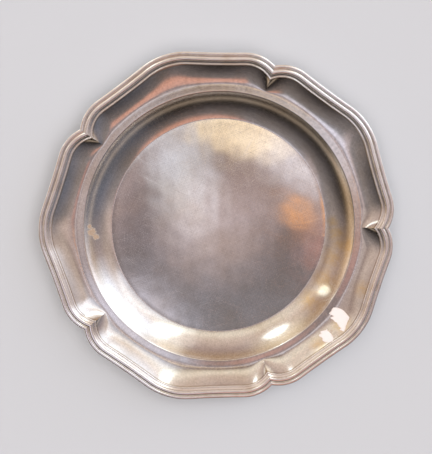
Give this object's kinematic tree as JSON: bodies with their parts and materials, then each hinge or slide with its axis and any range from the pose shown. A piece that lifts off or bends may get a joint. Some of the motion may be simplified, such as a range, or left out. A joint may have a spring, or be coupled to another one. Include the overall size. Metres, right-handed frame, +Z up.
{
  "type": "silver dinner plate",
  "caption": "Lobed silver dinner plate with a round flat-bottomed well, a coved border and an applied reeded rim moulding, with scraps of a torn paper sticker.",
  "frame": {"origin": "middle of the flat underside, on the surface that the plate rests on", "axes": "+Z up out of the well; a notch of the rim points along +X, and the middle of a lobe along -X"},
  "size_m": [0.2462, 0.2424, 0.0192],
  "materials": {
    "silver_sheet": "worn satin, finely scratched",
    "silver_moulding": "polished, dark in the grooves",
    "paper": "matt, torn"
  },
  "bodies": {
    "root": {"dish": "silver_sheet", "rim_moulding_1": "silver_moulding", "rim_moulding_2": "silver_moulding", "rim_moulding_3": "silver_moulding", "rim_moulding_4": "silver_moulding", "rim_moulding_5": "silver_moulding", "label_scrap_upper": "paper", "label_scrap_lower": "paper"}
  },
  "joints": []
}
